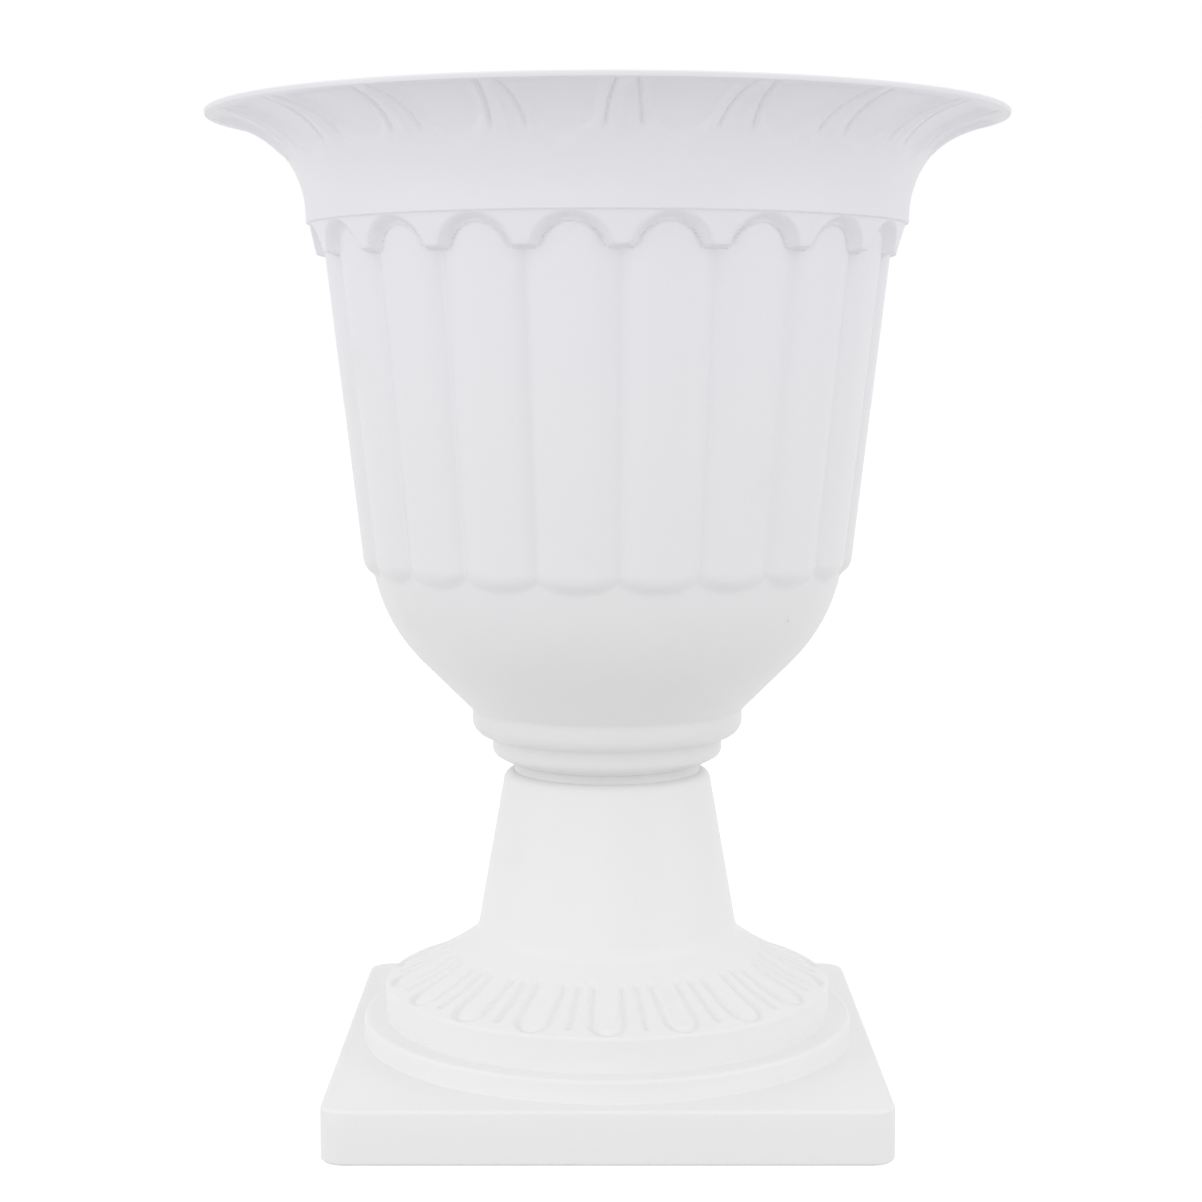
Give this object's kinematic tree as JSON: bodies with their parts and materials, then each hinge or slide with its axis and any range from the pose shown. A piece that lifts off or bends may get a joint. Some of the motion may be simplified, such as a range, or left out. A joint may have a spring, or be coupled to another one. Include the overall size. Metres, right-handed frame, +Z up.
{
  "type": "urn planter",
  "caption": "Two-piece classical urn planter: a reeded bowl with a wide flared rim, lifting off a waisted pedestal on a square plinth.",
  "frame": {"origin": "centre of the plinth's underside, on the floor", "axes": "+Z up along the urn's axis, -Y towards the viewer of the picture's front face, +X to the viewer's right"},
  "size_m": [0.2512, 0.251, 0.3113],
  "materials": {
    "pedestal_plastic": "satin moulded polypropylene, neutral white",
    "bowl_plastic": "satin moulded polypropylene, slightly cool white",
    "plug_plastic": "satin soft plastic, white"
  },
  "bodies": {
    "pedestal": {"pedestal": "pedestal_plastic"},
    "bowl": {"bowl": "bowl_plastic"},
    "drain_plug": {"drain_plug": "plug_plastic"}
  },
  "joints": [
    {"name": "bowl_lift", "type": "slide", "parent": "pedestal", "child": "bowl", "axis": [0, 0, 1], "range_m": [0, 0.06]},
    {"name": "plug_pull", "type": "slide", "parent": "bowl", "child": "drain_plug", "axis": [0, 0, 1], "range_m": [0, 0.04]}
  ]
}
